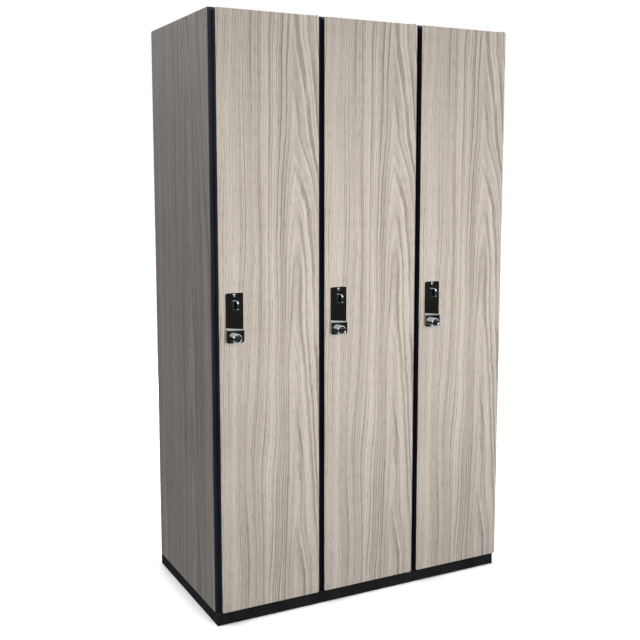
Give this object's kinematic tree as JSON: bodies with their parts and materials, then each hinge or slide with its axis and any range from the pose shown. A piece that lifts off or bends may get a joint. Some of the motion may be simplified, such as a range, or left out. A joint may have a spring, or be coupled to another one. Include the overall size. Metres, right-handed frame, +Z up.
{
  "type": "coin operated locker",
  "caption": "Bank of tall wood-laminate lockers on a black plinth, each with a pivoting full-height door and a coin lock with a turning key plug.",
  "frame": {"origin": "on the floor, under the middle of the bounding box of the whole bank, lock barrels included", "axes": "+X to the right as one faces the doors, +Y from the doors to the back, +Z up"},
  "size_m": [0.9008, 0.4932, 1.58],
  "materials": {
    "laminate": "matt pale ash-look laminate, vertical grain, black edge band",
    "black_board": "matt black laminate",
    "white_board": "matt off-white laminate",
    "polished_steel": "polished",
    "chrome": "bright",
    "zinc_steel": "zinc plated",
    "brass": "machined",
    "black_plastic": "satin"
  },
  "bodies": {
    "cabinet": {"plinth": "black_board", "side_left_1": "laminate", "side_right_1": "laminate", "top_1": "laminate", "bottom_1": "laminate", "back_1": "white_board", "hat_shelf_1": "laminate", "coat_hook_1": "zinc_steel", "pivot_top_1": "zinc_steel", "pivot_bottom_1": "zinc_steel", "strike_1": "zinc_steel", "side_left_2": "laminate", "side_right_2": "laminate", "top_2": "laminate", "bottom_2": "laminate", "back_2": "white_board", "hat_shelf_2": "laminate", "coat_hook_2": "zinc_steel", "pivot_top_2": "zinc_steel", "pivot_bottom_2": "zinc_steel", "strike_2": "zinc_steel", "side_left_3": "laminate", "side_right_3": "laminate", "top_3": "laminate", "bottom_3": "laminate", "back_3": "white_board", "hat_shelf_3": "laminate", "coat_hook_3": "zinc_steel", "pivot_top_3": "zinc_steel", "pivot_bottom_3": "zinc_steel", "strike_3": "zinc_steel"},
    "door_1": {"door_1": "laminate", "lock_plate_1": "polished_steel", "coin_entry_1": "chrome", "lock_barrel_1": "chrome", "lock_case_1": "black_plastic", "coin_cup_1": "black_plastic"},
    "key_1": {"key_plug_1": "brass", "lock_cam_1": "zinc_steel"},
    "coin_lever_1": {"coin_lever_1": "brass"},
    "door_2": {"door_2": "laminate", "lock_plate_2": "polished_steel", "coin_entry_2": "chrome", "lock_barrel_2": "chrome", "lock_case_2": "black_plastic", "coin_cup_2": "black_plastic"},
    "key_2": {"key_plug_2": "brass", "lock_cam_2": "zinc_steel"},
    "coin_lever_2": {"coin_lever_2": "brass"},
    "door_3": {"door_3": "laminate", "lock_plate_3": "polished_steel", "coin_entry_3": "chrome", "lock_barrel_3": "chrome", "lock_case_3": "black_plastic", "coin_cup_3": "black_plastic"},
    "key_3": {"key_plug_3": "brass", "lock_cam_3": "zinc_steel"},
    "coin_lever_3": {"coin_lever_3": "brass"}
  },
  "joints": [
    {"name": "door_1_swing", "type": "hinge", "parent": "cabinet", "child": "door_1", "pos_m": [-0.1604, -0.21635, 0.805], "axis": [0, 0, 1], "range_deg": [0, 105]},
    {"name": "key_1_turn", "type": "hinge", "parent": "door_1", "child": "key_1", "pos_m": [-0.3969, -0.21865, 0.761], "axis": [0, 1, 0], "range_deg": [0, 90]},
    {"name": "coin_lever_1_tip", "type": "hinge", "parent": "door_1", "child": "coin_lever_1", "pos_m": [-0.4049, -0.18805, 0.808], "axis": [0, 1, 0], "range_deg": [0, 18], "stiffness_Nm_per_rad": 0.002, "springref_deg": -63.03},
    {"name": "door_2_swing", "type": "hinge", "parent": "cabinet", "child": "door_2", "pos_m": [0.14, -0.21635, 0.805], "axis": [0, 0, 1], "range_deg": [0, 105]},
    {"name": "key_2_turn", "type": "hinge", "parent": "door_2", "child": "key_2", "pos_m": [-0.0965, -0.21865, 0.761], "axis": [0, 1, 0], "range_deg": [0, 90]},
    {"name": "coin_lever_2_tip", "type": "hinge", "parent": "door_2", "child": "coin_lever_2", "pos_m": [-0.1045, -0.18805, 0.808], "axis": [0, 1, 0], "range_deg": [0, 18], "stiffness_Nm_per_rad": 0.002, "springref_deg": -63.03},
    {"name": "door_3_swing", "type": "hinge", "parent": "cabinet", "child": "door_3", "pos_m": [0.4404, -0.21635, 0.805], "axis": [0, 0, 1], "range_deg": [0, 105]},
    {"name": "key_3_turn", "type": "hinge", "parent": "door_3", "child": "key_3", "pos_m": [0.2039, -0.21865, 0.761], "axis": [0, 1, 0], "range_deg": [0, 90]},
    {"name": "coin_lever_3_tip", "type": "hinge", "parent": "door_3", "child": "coin_lever_3", "pos_m": [0.1959, -0.18805, 0.808], "axis": [0, 1, 0], "range_deg": [0, 18], "stiffness_Nm_per_rad": 0.002, "springref_deg": -63.03}
  ]
}
